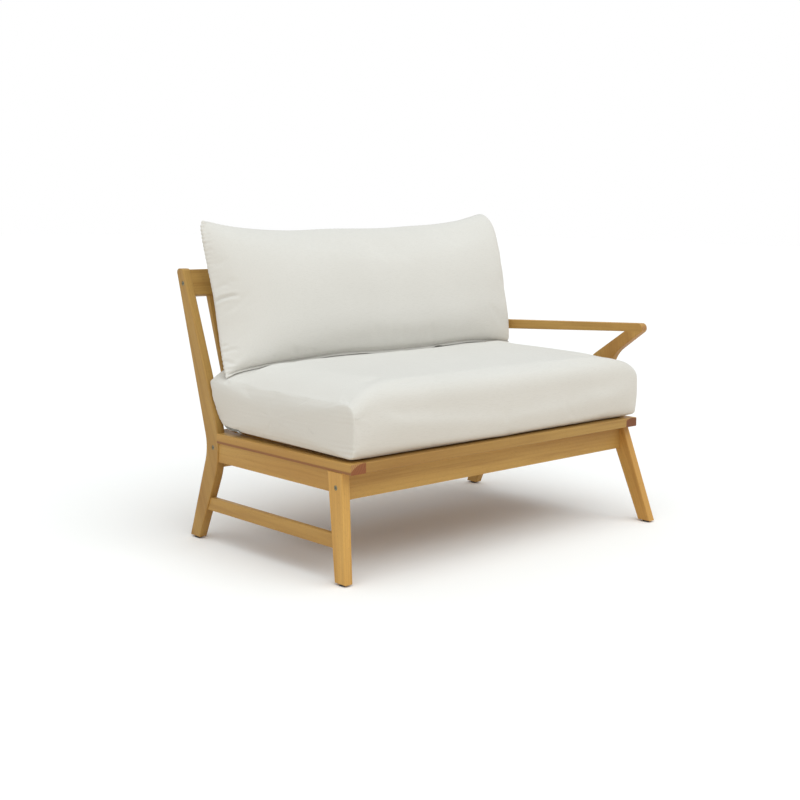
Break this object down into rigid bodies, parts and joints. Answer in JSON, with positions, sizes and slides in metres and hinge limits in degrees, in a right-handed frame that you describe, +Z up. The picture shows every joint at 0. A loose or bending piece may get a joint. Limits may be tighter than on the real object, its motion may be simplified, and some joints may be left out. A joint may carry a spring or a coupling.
{
  "type": "outdoor loveseat",
  "caption": "One-armed outdoor loveseat: hardwood frame with splayed legs, slatted seat and leaning slatted back, with a boxed seat cushion and a loose back cushion.",
  "frame": {"origin": "middle of the frame's width and depth, on the floor", "axes": "+X towards the arm side, -Y towards the front of the seat, +Z up"},
  "size_m": [1.205, 0.8949, 0.9426],
  "materials": {
    "timber": "satin",
    "glide": "matte",
    "fastener": "satin",
    "cover": "matte",
    "filling": "matte",
    "zip_tape": "matte",
    "zip_pull": "satin"
  },
  "bodies": {
    "frame": {"left_rear_post": "timber", "left_front_leg": "timber", "left_side_apron": "timber", "left_seat_board": "timber", "right_rear_post": "timber", "right_front_leg": "timber", "right_side_apron": "timber", "right_seat_board": "timber", "left_side_stretcher": "timber", "front_apron": "timber", "rear_apron": "timber", "front_seat_board": "timber", "rear_seat_board": "timber", "seat_bearer": "timber", "front_slat_ledger": "timber", "rear_slat_ledger": "timber", "seat_slat_1": "timber", "seat_slat_2": "timber", "seat_slat_3": "timber", "seat_slat_4": "timber", "seat_slat_5": "timber", "seat_slat_6": "timber", "seat_slat_7": "timber", "seat_slat_8": "timber", "seat_slat_9": "timber", "back_top_rail": "timber", "back_low_rail": "timber", "back_slat_1": "timber", "back_slat_2": "timber", "back_slat_3": "timber", "back_slat_4": "timber", "back_slat_5": "timber", "back_slat_6": "timber", "back_slat_7": "timber", "back_slat_8": "timber", "back_slat_9": "timber", "back_slat_10": "timber", "back_slat_11": "timber", "armrest": "timber", "arm_support": "timber", "arm_dowels": "timber", "left_front_glide": "glide", "left_rear_glide": "glide", "right_front_glide": "glide", "right_rear_glide": "glide", "left_frame_bolts": "fastener", "right_frame_bolts": "fastener", "arm_bolt": "fastener", "barrel_nuts": "fastener", "front_slat_screws": "fastener", "rear_slat_screws": "fastener"},
    "seat_cushion": {"seat_cushion_cover": "cover", "seat_cushion_core": "filling", "seat_cushion_zip": "zip_tape", "seat_cushion_zip_pull": "zip_pull"},
    "back_cushion": {"back_cushion_cover": "cover", "back_cushion_core": "filling", "back_cushion_zip": "zip_tape", "back_cushion_zip_pull": "zip_pull"}
  },
  "joints": [
    {"name": "seat_cushion_lift", "type": "slide", "parent": "frame", "child": "seat_cushion", "axis": [0, 0, 1], "range_m": [0, 0.3]},
    {"name": "back_cushion_lift", "type": "slide", "parent": "seat_cushion", "child": "back_cushion", "axis": [0, 0, 1], "range_m": [0, 0.3]}
  ]
}
